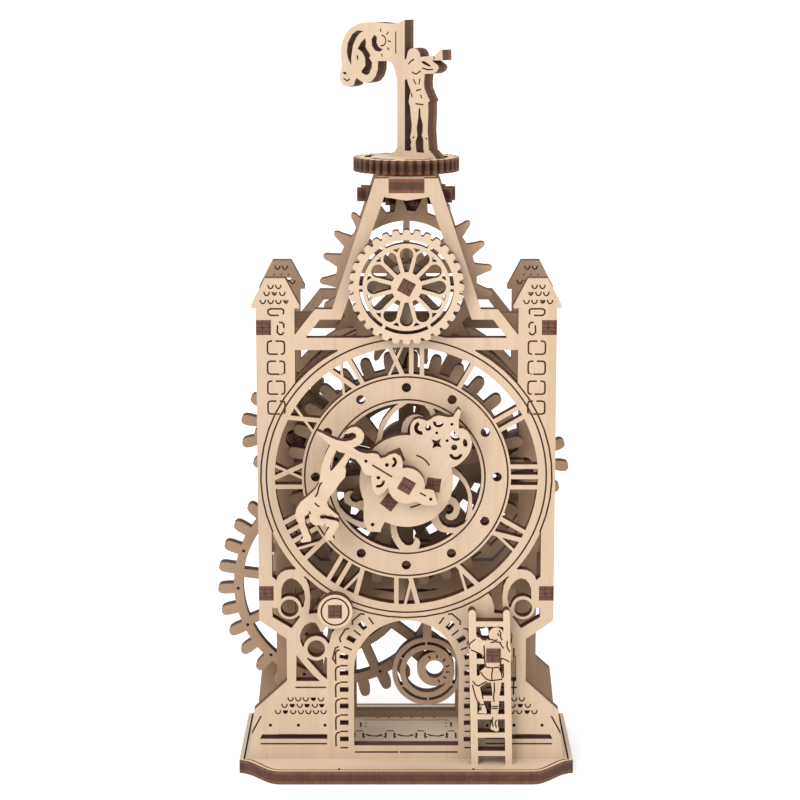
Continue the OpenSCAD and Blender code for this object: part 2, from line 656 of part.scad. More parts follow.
// Figure in a flared coat, both arms up to the blade
module hanging_figure_2d() {
  poly([[-14.9, 8.8], [-16, 8.7], [-17.1, 6.6], [-17.8, 4.4], [-18.1, 2.4], [-18.4, 0.4], [-19.3, -0.9],
    [-20.8, -2.3], [-22.2, -3.4], [-23.1, -4.8], [-23.5, -6.4], [-22, -7], [-20.5, -5.9], [-18.2, -6.4],
    [-17.4, -5.9], [-16.5, -6.5], [-15.9, -6.1], [-15, -6.9], [-14.2, -6.6], [-15.6, -5.4],
    [-16.4, -4.6], [-16.7, -3.6], [-16.4, -2.6], [-15.6, -1.7], [-14.9, -0.8], [-14, 0.6],
    [-12.9, 1.8], [-12.7, 3.3], [-12.9, 4.2], [-12, 5.9], [-11.2, 6.8], [-12.6, 7.4], [-13.2, 6.3],
    [-14.3, 4.9], [-15.1, 3.9], [-15.9, 3.1], [-16.1, 4.3], [-15.6, 6], [-14.6, 7.7]]);
  // left leg and foot
  poly([[-23.4, -6.1], [-23.2, -7.4], [-22.7, -8.2], [-22.6, -9], [-22.1, -10.2], [-21.8, -11.2],
    [-22.4, -11.9], [-22.1, -12.3], [-20.2, -12], [-20.1, -11.3], [-20.6, -10.1], [-20.9, -9.2],
    [-21.3, -8.4], [-21.4, -7.5], [-21.5, -6.2], [-22.2, -5.4]]);
  // right leg, bent at the knee
  poly([[-20.6, -5.4], [-20.3, -7.7], [-19.6, -8.4], [-17.6, -8.6], [-16.2, -8.9], [-16.9, -10],
    [-17.4, -11.2], [-17, -11.9], [-15.2, -11.7], [-15.6, -11], [-15, -9.8], [-14.2, -8.5],
    [-14.2, -7.9], [-15, -7.5], [-16.2, -7.3], [-16.9, -7.1], [-18.1, -7.1], [-18.5, -5.4]]);
}
// Hour hand: a disc with a pierced leaf head
module hour_hand() {
  color(veneer) sheet(hour_y) translate([0, dial_z]) difference() {
    union() {
      circle(r = 9.95);
      leaf_head_2d();
      poly([[-8, -3], [-9.1, -4], [-9.1, -8.2], [-8.9, -9.3], [-8.3, -10.8], [-7.9, -11], [-5.5, -11.1],
        [-5.3, -10.2], [-4.8, -9.2], [-4, -8]]);
    }
    circle(r = bore_r);
    for (a = [-8, 112, 232]) rotate(a) translate([5.8, 0]) square_2d(axle);
    leaf_holes_2d();
    translate([-7.2, -9.45]) circle(r = 0.4, $fn = 16);
  }
}
module leaf_head_2d() {
  poly([[1, 8], [0.75, 11.2], [0.95, 12.3], [1.6, 13.2], [2.6, 13.55], [3.5, 13.3], [4.3, 13], [5, 13.3],
    [5.8, 13.9], [6.8, 14.2], [7.8, 14], [8.8, 13.8], [9.9, 13.9], [10.3, 14.8], [10.95, 15.6],
    [11.5, 15.1], [11.3, 14.2], [11, 13], [11.05, 11.4], [12, 11.4], [12.9, 10.8], [13.5, 9.8],
    [13.9, 8.4], [13.7, 7], [13.1, 5.7], [12.3, 4.7], [11.3, 3.8], [10.4, 3.2], [8.5, 2.6], [5, 5]]);
}
// Two curls with eyes on each side, a star and a few dots
module leaf_holes_2d() {
  translate([3.1, 11.5]) arc_2d(1.5, 0.7, 115, 285);
  translate([4.6, 11.5]) circle(r = 0.62, $fn = 24);
  translate([6.75, 12.75]) arc_2d(1.15, 0.5, 170, 345);
  translate([6.4, 10.45]) circle(r = 0.32, $fn = 16);
  poly([[5.25, 9.05], [6.3, 8.75], [7.3, 9.2], [6.95, 8.2], [7.45, 7.3], [6.4, 7.5], [5.45, 7.1], [5.75, 8.1]]);
  translate([8.6, 8.75]) circle(r = 0.32, $fn = 16);
  translate([9.6, 12.3]) circle(r = 0.32, $fn = 16);
  translate([10.5, 9.9]) arc_2d(1.2, 0.5, 110, 320);
  poly([[12.1, 7.6], [12.7, 7.4], [12.95, 8], [12.7, 8.9], [12.1, 9.2], [11.9, 8.4]]);
  translate([10.1, 7.3]) circle(r = 0.65, $fn = 24);
  translate([10.45, 6.05]) arc_2d(1.45, 0.75, 190, 350);
}
module hour_pegs() {
  for (a = [-8, 112, 232]) {
    p = ray(5.8, a);
    color(burnt) axle_bar(p[0], dial_z + p[1], hour_y, front_y + 2 * ply + 0.1, a);
  }
}
module hour_ring(y, r) {
  sheet(y) translate([0, dial_z]) difference() {
    circle(r = r);
    circle(r = bore_r);
    for (a = [-8, 112, 232]) rotate(a) translate([5.8, 0]) square_2d(axle);
  }
}
module hour_carrier() {
  color(inner_veneer) hour_ring(front_y, 7.98);
}
module hour_retainer() {
  color(inner_veneer) hour_ring(front_y + ply + 0.1, 9.4);
}
module right_axle() {
  color(burnt) axle_bar(right_x, dial_z, bearing_y, back_y + ply, 0);
}
module right_pinion() {
  color(inner_veneer) sheet(pinion_y) translate([right_x, dial_z]) difference() {
    finger_gear(right_n, right_rp, right_phase);
    square_2d(axle);
  }
}
module upper_axle() {
  color(burnt) axle_bar(0, upper_z, rose_y, cap_y + ply, 62);
}
module upper_axle_cap() {
  color(veneer) round_disc(0, upper_z, cap_y, 3.75, 62);
}
// Rose window wheel: small teeth, a ring of slits, twelve petals and a triangle between petals
module rose_gear() {
  color(veneer) sheet(rose_y) translate([0, upper_z]) difference() {
    gear_2d(32, 11.65, 0.45, 0.5, 0.78, 0.64, 0.7, 0);
    for (i = [0:5]) rotate(60 * i) arc_2d(9.95, 9.2, 2.2, 57.8);
    for (i = [0:11]) rotate(30 * i) petal_2d();
    for (i = [0:11]) rotate(30 * i + 15) poly([[7.6, 0], [8.4, -0.75], [8.4, 0.75]]);
    rotate(62) square_2d(axle);
  }
}
module petal_2d() {
  translate([6.85, 0]) circle(r = 1.42, $fn = 32);
  poly([[3.2, -0.42], [6.6, -1.34], [6.6, 1.34], [3.2, 0.42]]);
}
module crown_gear() {
  color(inner_veneer) sheet(train_y) translate([0, upper_z]) difference() {
    union() {
      difference() {
        gear_2d(crown_n, crown_rp, 1.5, 1.95, 0.6, 0.3, 1.3, crown_phase);
        circle(r = 12.9);
      }
      circle(r = 4);
      for (i = [0:3]) rotate(90 * i) translate([0, -0.7]) square([14, 1.4]);
      for (i = [0:3]) rotate(90 * i + 45) translate([0, -0.7]) square([14, 1.4]);
    }
    rotate(62) square_2d(axle);
  }
}
module platform_axle() {
  color(burnt) translate([0, platform_y, flat_z - ply - 0.2]) rotate(-40)
    linear_extrude(platform_z + ply - flat_z + ply + 0.2) square_2d(axle);
}
module platform_axle_cap() {
  color(inner_veneer) slab(flat_z - ply - 0.2) translate([0, platform_y]) difference() {
    circle(r = 3.6);
    rotate(-40) square_2d(axle);
  }
}
module long_tooth_gear() {
  color(burnt) slab(flat_z) translate([0, platform_y]) difference() {
    gear_2d(flat_n, 8.3, 2.4, 2.7, 0.22, 0.2, 0.35, flat_phase);
    rotate(-40) square_2d(axle);
  }
}
module platform_gear() {
  color(veneer) slab(platform_z) translate([0, platform_y]) difference() {
    gear_2d(38, 10.9, 0.5, 0.6, 0.7, 0.6, 0.7, 0);
    for (i = [0:5]) rotate(60 * i + 20) arc_2d(9, 7.6, 8, 52);
    rotate(-40) {
      square_2d(axle);
      translate([-4.5, -ply / 2]) square([2.2, ply]);
      translate([4, -ply / 2]) square([3, ply]);
    }
  }
}
// Flag, pole and trumpeter are one plate that stands on the platform
module flag_trumpeter() {
  color(veneer) translate([0, platform_y, 0]) rotate(-40) translate([0, ply / 2, 0]) rotate([90, 0, 0])
    linear_extrude(ply) {
    translate([-4.5, platform_z]) square([2.2, ply]);
    translate([4, platform_z]) square([3, ply]);
    difference() {
      flag_2d();
      pole_gap_2d();
      flag_holes_2d();
    }
  }
}
// One outline: flag, pole and foot, then the trumpeter up to the head and back to the pole
module flag_2d() {
  z = platform_z + ply;
  poly([[0.75, 162.2], [-0.5, 161.7], [-2, 161.35], [-4, 161.35], [-7, 161.55], [-9, 161.5], [-12, 161.2],
    [-14.5, 160.2], [-16.2, 158.6], [-17.1, 156.5], [-17.3, 154.4], [-17.1, 152.4], [-17.2, 151.2],
    [-17.7, 150.2], [-17.6, 148.8], [-16.8, 147.8], [-15, 147.5], [-13.7, 147.9], [-12.9, 149.5],
    [-11.2, 148.7], [-10, 148.5], [-8.6, 148.9], [-7.4, 150], [-6.8, 151.5], [-6.7, 153.3],
    [-4.2, 153.4], [-3, 153.2], [-2.3, 152.4], [-1.8, 151], [-1.4, 149.4], [-1.3, 148],
    [-1.3, z + 2.1], [-2, z + 1.1], [-3.5, z + 0.5], [-4.6, z], [9.6, z], [8.5, z + 1.1], [7.5, z + 1.9],
    [7.4, 136], [7.3, 137], [7.1, 139], [7.2, 141], [7.3, 143], [7.25, 145], [7.7, 145.4], [7, 146.5],
    [6.2, 148], [6.1, 149.2], [6.3, 151], [8.5, 151.1], [9.6, 151.6], [10.1, 152.3], [9.9, 152.9],
    [9, 153.4], [8.2, 153.9], [11.15, 153.95], [11.1, 156.1], [10.6, 156.15], [9.6, 155.3],
    [8.8, 154.85], [7.2, 154.75], [5.1, 154.5], [4.9, 155.4], [4.2, 156.1], [3.2, 156.35],
    [2.2, 156.1], [1.6, 155.4], [1.4, 154.5], [1.1, 153.9], [0.75, 153.9]]);
}
// Gaps between the pole, the legs and the arm
module pole_gap_2d() {
  z = platform_z + ply;
  poly([[0.8, z + 1.4], [0.8, 149.5], [1.4, 149.8], [1.8, 148.6], [2.5, 147.3], [2.1, 146], [1.9, 144.9],
    [2.3, 144], [2.5, 142], [2.8, 140], [2.6, 138.5], [2.3, 137.4], [2.7, 136.4], [2.4, 135.8],
    [2.7, 135], [2.4, z + 1.4]]);
  poly([[4.7, 143.7], [5.1, 143.7], [5.2, 142], [5.8, 140.4], [5.8, 139], [5.5, 138], [6, 137],
    [6, 135.2], [6.2, z + 1.2], [4.1, z + 1.2], [3.9, 135.5], [3.8, 136.5], [4.3, 137.8],
    [4.1, 139.5], [4.5, 141.5]]);
  poly([[5.5, 153.7], [6.4, 153.6], [8, 152.8], [7.8, 152.5], [6.4, 152.9], [5.5, 153.3]]);
}
module flag_holes_2d() {
  poly([[-10.7, 159.6], [-12.5, 159.7], [-14, 158.9], [-15.3, 157], [-15.6, 155], [-15.2, 153.5],
    [-14.3, 152.2], [-14.3, 154], [-13.8, 156.5], [-12.8, 158.2], [-11.7, 159.2]]);
  poly([[-10.3, 158.1], [-11.5, 157.2], [-12.5, 155.8], [-11.2, 155.1], [-10.4, 153.9], [-10.3, 152.2],
    [-11.4, 151.1], [-11.3, 150.6], [-10, 150.2], [-9.2, 150.5], [-8.4, 152], [-8.4, 153],
    [-9.2, 153.9], [-8.8, 154.5], [-10.2, 156.2], [-10.1, 157.4]]);
  poly([[-12.7, 154.5], [-12.35, 154.3], [-12.3, 153.5], [-12.55, 153.3], [-12.75, 153.9]]);
  poly([[-7.7, 158.9], [-8.5, 158], [-8.4, 156.5], [-7.5, 155.5], [-6.3, 155.3], [-5.2, 155.8],
    [-6.5, 156.3], [-7.1, 157.2], [-7, 158.4]]);
  poly([[-16.9, 150.5], [-16.2, 150.75], [-15.5, 150.4], [-16.2, 150.1]]);
}
// Pendulum: a rod with a round bob, a crescent and a sun
module pendulum() {
  color(inner_veneer) sheet(swing_y) difference() {
    union() {
      translate([swing_x, swing_z]) circle(r = 3.4);
      translate([swing_x - 0.95, 24]) square([1.9, 17]);
      translate([swing_x, 18.9]) circle(r = 7.8);
    }
    translate([swing_x, swing_z]) circle(r = 1.5 + bore_gap);
    translate([swing_x, 18.9]) {
      for (i = [0:5]) rotate(60 * i + 34) arc_2d(6.75, 6.1, 0, 56);
      difference() {
        circle(r = 4.9);
        translate([1.65, 0.5]) circle(r = 3.9);
      }
      translate([1.65, 0.5]) {
        circle(r = 2);
        for (a = [114, 80, 45, 14, -13, -40, -70]) rotate(a) sun_ray_2d();
      }
    }
  }
}
module sun_ray_2d() {
  poly([[2.55, -0.2], [2.9, -0.28], [3.3, -0.02], [3.55, -0.1], [3.3, 0.26], [2.9, 0.08], [2.55, 0.14]]);
}

base_plate();
front_plate();
back_plate();
bearing_plate();
top_plate();
side_beam(-1, 96.8);  // upper_left_beam
side_beam(1, 96.8);  // upper_right_beam
side_beam(-1, 38.8, bearing_y + ply - front_y);  // lower_left_beam
side_beam(1, 38.8);  // lower_right_beam
pendulum_pin();
ladder_climber();
ladder_peg();
drive_gear();
drive_axle();
drive_axle_disc();
drive_axle_cap();
left_axle();
left_gear();
left_pinion();
minute_axle();
minute_hand();
centre_gear();
minute_gear();
minute_axle_cap();
hour_hand();
hour_pegs();
hour_carrier();
hour_retainer();
right_axle();
right_pinion();
upper_axle();
rose_gear();
crown_gear();
upper_axle_cap();
platform_axle();
long_tooth_gear();
platform_gear();
flag_trumpeter();
platform_axle_cap();
pendulum();
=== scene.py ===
# Plywood clock tower: materials, laser engraving, floor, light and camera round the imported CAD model.
import bpy, bmesh, json, math, random
from mathutils import Vector, Matrix

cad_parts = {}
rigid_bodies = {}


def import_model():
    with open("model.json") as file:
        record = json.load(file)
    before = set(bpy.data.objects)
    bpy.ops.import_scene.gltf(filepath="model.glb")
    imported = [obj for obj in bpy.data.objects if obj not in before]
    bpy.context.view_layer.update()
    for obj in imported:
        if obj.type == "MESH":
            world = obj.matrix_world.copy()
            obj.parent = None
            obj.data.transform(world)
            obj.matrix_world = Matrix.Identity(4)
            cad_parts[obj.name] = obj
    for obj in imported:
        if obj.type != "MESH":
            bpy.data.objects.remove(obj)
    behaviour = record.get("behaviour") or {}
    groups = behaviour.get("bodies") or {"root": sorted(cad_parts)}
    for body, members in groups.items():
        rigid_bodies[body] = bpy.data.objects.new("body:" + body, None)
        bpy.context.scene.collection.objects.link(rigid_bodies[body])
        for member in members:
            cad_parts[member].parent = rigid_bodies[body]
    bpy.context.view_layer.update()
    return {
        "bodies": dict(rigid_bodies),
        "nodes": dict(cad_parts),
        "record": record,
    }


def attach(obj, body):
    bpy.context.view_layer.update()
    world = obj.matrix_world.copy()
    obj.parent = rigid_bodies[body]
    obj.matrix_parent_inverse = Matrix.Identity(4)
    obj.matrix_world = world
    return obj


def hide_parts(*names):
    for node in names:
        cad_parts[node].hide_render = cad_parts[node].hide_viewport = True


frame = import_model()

MM = 0.001
scene = bpy.context.scene
BODY = {n: b for b, ns in frame["bodies"].items() for n in ns} if isinstance(
    next(iter(frame["bodies"].values())), (list, tuple)) else {}
if not BODY:
    BODY = {n: b for b, ns in frame["record"]["behaviour"]["bodies"].items() for n in ns}


# ---------------------------------------------------------------- materials
class Graph:
    """A short way to write node trees."""
    def __init__(self, name):
        self.mat = bpy.data.materials.new(name)
        self.mat.use_nodes = True
        self.tree = self.mat.node_tree
        self.tree.nodes.clear()
        self.out = self.tree.nodes.new("ShaderNodeOutputMaterial")
        self.bsdf = self.tree.nodes.new("ShaderNodeBsdfPrincipled")
        self.link(self.bsdf.outputs[0], self.out.inputs[0])

    def link(self, a, b):
        self.tree.links.new(a, b)

    def put(self, value, socket):
        if isinstance(value, bpy.types.NodeSocket):
            self.link(value, socket)
        elif value is not None:
            socket.default_value = value

    def node(self, kind, **props):
        n = self.tree.nodes.new(kind)
        for k, v in props.items():
            setattr(n, k, v)
        return n

    def math(self, op, a, b=None, c=None, clamp=False):
        n = self.node("ShaderNodeMath", operation=op, use_clamp=clamp)
        for s, v in zip(n.inputs, (a, b, c)):
            self.put(v, s)
        return n.outputs[0]

    def mix(self, f, a, b, blend="MIX"):
        n = self.node("ShaderNodeMix", data_type="RGBA", blend_type=blend)
        self.put(f, n.inputs[0])
        for s, v in ((n.inputs[6], a), (n.inputs[7], b)):
            self.put(tuple(v) + (1,) if isinstance(v, (tuple, list)) and len(v) == 3 else v, s)
        return n.outputs[2]

    def noise(self, vec, scale, detail=2.0, rough=0.5, distort=0.0):
        n = self.node("ShaderNodeTexNoise")
        self.put(vec, n.inputs["Vector"])
        n.inputs["Scale"].default_value = scale
        n.inputs["Detail"].default_value = detail
        n.inputs["Roughness"].default_value = rough
        n.inputs["Distortion"].default_value = distort
        return n.outputs[0]

    def ramp(self, f, *stops):
        n = self.node("ShaderNodeMapRange", interpolation_type="SMOOTHSTEP")
        self.put(f, n.inputs[0])
        n.inputs[1].default_value, n.inputs[2].default_value = stops[0], stops[1]
        n.inputs[3].default_value, n.inputs[4].default_value = (stops[2], stops[3]) if len(stops) > 2 else (0, 1)
        return n.outputs[0]

    def mapping(self, vec, loc=(0, 0, 0), rot=(0, 0, 0), scale=(1, 1, 1), kind="POINT"):
        n = self.node("ShaderNodeMapping", vector_type=kind)
        self.put(vec, n.inputs[0])
        n.inputs[1].default_value = loc if kind == "POINT" else (0, 0, 0)
        n.inputs[2].default_value = rot
        n.inputs[3].default_value = scale
        return n.outputs[0]

    def split(self, vec):
        n = self.node("ShaderNodeSeparateXYZ")
        self.put(vec, n.inputs[0])
        return n.outputs


def ply(name, axis, front, face, turn=0.0, grain=90.0, seed=0.0, spin=0.0, dark=1.0, burn=0.0):
    """Laser-cut sheet: veneer on the two faces, burnt layered ply on the cut walls.
    axis is the sheet's thickness axis, front the place of its front face, grain the angle of the
    fibres in the sheet, spin the turn of an upright sheet about Z."""
    g = Graph(name)
    tc = g.node("ShaderNodeTexCoord")
    p, n = tc.outputs["Object"], tc.outputs["Normal"]
    if spin:
        p = g.mapping(p, rot=(0, 0, -spin))
        n = g.mapping(n, rot=(0, 0, -spin), kind="VECTOR")
    k = "XYZ".index(axis)
    thick = g.math("DIVIDE", g.math("SUBTRACT", g.split(p)[k], front), 3 * MM)
    is_face = g.math("GREATER_THAN", g.math("ABSOLUTE", g.split(n)[k]), 0.6)
    # fibres run along local X after this turn
    rot = (0, math.radians(grain), 0) if axis == "Y" else (0, 0, math.radians(-grain)) if axis == "Z" else (math.radians(grain), 0, 0)
    q = g.mapping(p, loc=(seed * 0.37, seed * 0.11, seed * 0.23), rot=rot)
    fibre = g.noise(g.mapping(q, scale=(70, 1900, 1900)), 1.0, 4.0, 0.62)
    streak = g.noise(g.mapping(q, scale=(16, 330, 330)), 1.0, 3.0, 0.55, 0.7)
    figure = g.noise(g.mapping(q, scale=(9, 75, 75)), 1.0, 2.0, 0.5, 1.2)
    cloud = g.noise(q, 38.0, 2.0, 0.5)
    pore = g.ramp(g.noise(g.mapping(q, scale=(150, 3300, 3300)), 1.0, 1.0, 0.4), 0.66, 0.76)
    light = tuple(min(1.0, c * 1.075) for c in face)
    deep = tuple(c * d for c, d in zip(face, (0.87, 0.83, 0.77)))
    warm = tuple(c * d for c, d in zip(face, (0.97, 0.88, 0.76)))
    col = g.mix(g.ramp(figure, 0.32, 0.68), light, face)
    col = g.mix(g.math("MULTIPLY", g.ramp(streak, 0.45, 0.78), 0.5), col, deep)
    col = g.mix(g.math("MULTIPLY", g.ramp(cloud, 0.45, 0.75), 0.35), col, warm)
    col = g.mix(g.math("MULTIPLY", g.ramp(fibre, 0.42, 0.72), 0.26), col, deep)
    col = g.mix(g.math("MULTIPLY", pore, 0.22), col, tuple(c * 0.55 for c in face))
    # smoke stain left by the laser, in soft patches
    smoke = g.math("MULTIPLY", g.ramp(g.noise(q, 120.0, 3.0, 0.6, 0.4), 0.55, 0.8), 0.16 + burn)
    col = g.mix(smoke, col, tuple(c * d for c, d in zip(face, (0.78, 0.66, 0.52))))
    # cut wall: three plies, browner core, fine marks of the beam across the sheet
    sc = [2600, 2600, 2600]
    sc[k] = 130
    marks = g.noise(g.mapping(p, scale=tuple(sc)), 1.0, 3.0, 0.6)
    soot = g.noise(p, 420.0, 3.0, 0.6)
    core = g.math("MULTIPLY", g.ramp(thick, 0.20, 0.27), g.ramp(thick, 0.80, 0.73))
    wall = g.mix(core, tuple(c * dark for c in (0.142, 0.056, 0.028)), tuple(c * dark for c in (0.070, 0.028, 0.016)))
    wall = g.mix(g.math("MULTIPLY", g.ramp(marks, 0.38, 0.72), 0.55), wall, tuple(c * dark for c in (0.030, 0.015, 0.011)))
    wall = g.mix(g.math("MULTIPLY", g.ramp(soot, 0.5, 0.8), 0.45), wall, tuple(c * dark for c in (0.185, 0.084, 0.044)))
    g.put(g.mix(is_face, wall, col), g.bsdf.inputs["Base Color"])
    rough = g.math("ADD", g.math("MULTIPLY", fibre, 0.16), g.math("MULTIPLY", is_face, -0.06))
    g.put(g.math("ADD", rough, 0.56), g.bsdf.inputs["Roughness"])
    height = g.math("ADD", g.math("MULTIPLY", g.math("ADD", fibre, g.math("MULTIPLY", pore, -0.8)), is_face),
                    g.math("MULTIPLY", marks, g.math("MULTIPLY", g.math("SUBTRACT", 1.0, is_face), 1.6)))
    b = g.node("ShaderNodeBump")
    b.inputs["Strength"].default_value = 0.35
    b.inputs["Distance"].default_value = 0.00006
    g.put(height, b.inputs["Height"])
    g.link(b.outputs[0], g.bsdf.inputs["Normal"])
    g.bsdf.inputs["Specular IOR Level"].default_value = 0.28
    return g.mat


def groove(name, tone=(0.060, 0.028, 0.015)):
    """Char left in an engraved line."""
    g = Graph(name)
    p = g.node("ShaderNodeTexCoord").outputs["Object"]
    n = g.noise(p, 900.0, 3.0, 0.6)
    col = g.mix(g.ramp(n, 0.35, 0.7), tone, tuple(c * 2.1 for c in tone))
    g.put(col, g.bsdf.inputs["Base Color"])
    g.put(g.math("ADD", g.math("MULTIPLY", n, 0.2), 0.72), g.bsdf.inputs["Roughness"])
    b = g.node("ShaderNodeBump")
    b.inputs["Strength"].default_value = 0.5
    b.inputs["Distance"].default_value = 0.00005
    g.put(n, b.inputs["Height"])
    g.link(b.outputs[0], g.bsdf.inputs["Normal"])
    g.bsdf.inputs["Specular IOR Level"].default_value = 0.2
    return g.mat


def bar(name, axis, centre, seed, turn=0.0):
    """Square bar cut from the same sheet: dark cut ends with ply layers and a hatch of beam marks."""
    g = Graph(name)
    tc = g.node("ShaderNodeTexCoord")
    rot = {"Y": (0, math.radians(turn), 0), "Z": (0, 0, math.radians(-turn))}[axis]
    p = g.mapping(g.mapping(tc.outputs["Object"], loc=tuple(-c * MM for c in centre)), rot=rot)
    n = tc.outputs["Normal"]
    k = "XYZ".index(axis)
    a, b = [g.split(p)[i] for i in range(3) if i != k]
    is_end = g.math("GREATER_THAN", g.math("ABSOLUTE", g.split(n)[k]), 0.6)
    layer = g.math("PINGPONG", g.math("ADD", g.math("DIVIDE", a, 1.5 * MM), 0.16), 0.5)
    lines = g.ramp(layer, 0.03, 0.10)
    hatch = g.ramp(g.math("PINGPONG", g.math("DIVIDE", b, 0.85 * MM), 0.5), 0.05, 0.12)
    sc = [1500, 1500, 1500]
    sc[k] = 60
    fibre = g.noise(g.mapping(p, loc=(seed, seed, 0), scale=tuple(sc)), 1.0, 3.0, 0.6)
    spot = g.noise(p, 1300.0, 2.0, 0.5)
    end = g.mix(g.math("MULTIPLY", lines, hatch), (0.030, 0.012, 0.009), (0.098, 0.040, 0.026))
    end = g.mix(g.math("MULTIPLY", g.ramp(spot, 0.45, 0.75), 0.5), end, (0.150, 0.070, 0.045))
    side = g.mix(g.ramp(fibre, 0.35, 0.7), (0.20, 0.105, 0.055), (0.075, 0.034, 0.020))
    g.put(g.mix(is_end, side, end), g.bsdf.inputs["Base Color"])
    g.put(g.math("ADD", g.math("MULTIPLY", fibre, 0.15), 0.62), g.bsdf.inputs["Roughness"])
    bm = g.node("ShaderNodeBump")
    bm.inputs["Strength"].default_value = 0.4
    bm.inputs["Distance"].default_value = 0.00006
    g.put(g.math("ADD", g.math("MULTIPLY", lines, hatch), fibre), bm.inputs["Height"])
    g.link(bm.outputs[0], g.bsdf.inputs["Normal"])
    g.bsdf.inputs["Specular IOR Level"].default_value = 0.25
    return g.mat


LIGHT = (0.455, 0.340, 0.238)
PALE = (0.485, 0.370, 0.265)
# The next tone is a lighter copy of the ply for the upward-facing base plate and platform gear: painted light on the
# tops.
LIT_TOP_TONE = (0.640, 0.500, 0.365)
# The next two tones are darker copies of the ply for the pieces inside the tower and for the back and bearing plates:
# partly a darker veneer, partly painted shade for the enclosed interior.
INNER_DARK_AND_SHADED = (0.345, 0.228, 0.146)
BACK_DARK_AND_SHADED = (0.315, 0.207, 0.132)
CHAR = groove("char")


# ---------------------------------------------------------------- engraving
class Lines:
    """Engraved strokes on one flat face. to3d(a, b, h) places a point h above the face."""
    def __init__(self, to3d, width=0.36, depth=0.35):
        self.to3d, self.width, self.depth, self.strokes = to3d, width, depth, []

    def add(self, pts, closed=False, width=None):
        pts = [Vector(p) for p in pts]
        clean = [pts[0]]
        for q in pts[1:]:
            if (q - clean[-1]).length > 0.02:
                clean.append(q)
        if closed and (clean[0] - clean[-1]).length < 0.02:
            clean.pop()
        if len(clean) > 1:
            self.strokes.append((clean, closed, width or self.width))

    def line(self, a, b, **k):
        self.add([a, b], **k)

    def arc(self, c, r, a1, a2, **k):
        n = max(3, int(abs(a2 - a1) / 7))
        self.add([(c[0] + r * math.cos(math.radians(a1 + (a2 - a1) * i / n)),
                   c[1] + r * math.sin(math.radians(a1 + (a2 - a1) * i / n))) for i in range(n + 1)], **k)

    def circle(self, c, r, n=96, **k):
        self.add([(c[0] + r * math.cos(2 * math.pi * i / n), c[1] + r * math.sin(2 * math.pi * i / n))
                  for i in range(n)], closed=True, **k)

    def both(self, pts, **k):
        self.add(pts, **k)
        self.add([(-x, y) for x, y in pts], **k)

    def mesh(self):
        bm = bmesh.new()
        for pts, closed, w in self.strokes:
            n, left, right = len(pts), [], []
            for i, p in enumerate(pts):
                before = pts[i - 1] if i or closed else None
                after = pts[(i + 1) % n] if i < n - 1 or closed else None
                d1 = (p - before).normalized() if before is not None else None
                d2 = (after - p).normalized() if after is not None else None
                d1, d2 = d1 or d2, d2 or d1
                t = (d1 + d2).normalized() if (d1 + d2).length > 1e-6 else d1
                s = w / 2 / max(0.5, t.dot(d1))
                m = Vector((-t.y, t.x)) * s
                left.append(p + m)
                right.append(p - m)
            rings = []
            for h in (-self.depth, 0.35):
                rings.append([[bm.verts.new(self.to3d(q.x, q.y, h)) for q in side] for side in (left, right)])
            (l0, r0), (l1, r1) = rings
            for i in range(n if closed else n - 1):
                j = (i + 1) % n
                for quad in ((l0[i], l0[j], r0[j], r0[i]), (l1[i], r1[i], r1[j], l1[j]),
                             (l0[i], l1[i], l1[j], l0[j]), (r0[i], r0[j], r1[j], r1[i])):
                    bm.faces.new(quad)
            if not closed:
                for i in (0, -1):
                    bm.faces.new((l0[i], r0[i], r1[i], l1[i]))
        bmesh.ops.recalc_face_normals(bm, faces=bm.faces)
        for f in bm.faces:
            f.material_index = 1
        me = bpy.data.meshes.new("cutter")
        bm.to_mesh(me)
        bm.free()
        return me


def facade(front):
    return lambda a, b, h: Vector((a * MM, front * MM - h * MM, b * MM))


def on_top(z):
    return lambda a, b, h: Vector((a * MM, b * MM, z * MM + h * MM))


def turned(front, spin, cy):
    c, s = math.cos(spin), math.sin(spin)
    def place(a, b, h):
        x, y = a * MM, front * MM - h * MM
        return Vector((c * x - s * y, s * x + c * y + cy * MM, b * MM))
    return place


def engraved(node, mat, *sets):
    """A copy of a CAD node with its engraved lines cut in as real grooves."""
    src = next(o for o in bpy.data.objects if o.type == "MESH" and o.name == node) if node in bpy.data.objects else frame["nodes"][node]
    bm = bmesh.new()
    bm.from_mesh(src.data)
    bmesh.ops.remove_doubles(bm, verts=bm.verts, dist=2e-6)
    me = bpy.data.meshes.new(node + ".engraved")
    bm.to_mesh(me)
    bm.free()
    me.materials.clear()
    me.materials.append(mat)
    me.materials.append(CHAR)
    for poly in me.polygons:
        poly.material_index = 0
        poly.use_smooth = False
    ob = bpy.data.objects.new(node + ".engraved", me)
    scene.collection.objects.link(ob)
    for s in sets:
        if not s.strokes:
            continue
        cut = bpy.data.objects.new("cutter", s.mesh())
        cut.data.materials.append(mat)
        cut.data.materials.append(CHAR)
        scene.collection.objects.link(cut)
        mod = ob.modifiers.new("cut", "BOOLEAN")
        mod.operation, mod.object, mod.solver, mod.use_self = "DIFFERENCE", cut, "EXACT", True
        bpy.context.view_layer.update()
        new = bpy.data.meshes.new_from_object(ob.evaluated_get(bpy.context.evaluated_depsgraph_get()))
        ob.modifiers.remove(mod)
        if len(new.polygons) > len(ob.data.polygons) * 0.5:
            ob.data = new
        else:
            print("engraving failed on", node)
        bpy.data.objects.remove(cut)
    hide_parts(node)
    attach(ob, BODY[node])
    return ob


def paint(node, mat):
    o = frame["nodes"][node]
    if not o.material_slots:
        o.data.materials.append(mat)
    for s in o.material_slots:
        s.link = "OBJECT"
        s.material = mat


# ---------------------------------------------------------------- facade engraving
F = Lines(facade(-15.7))
DZ = 66.1
for r in (29.9, 21.7, 16.8):
    F.circle((0, DZ), r, 144)
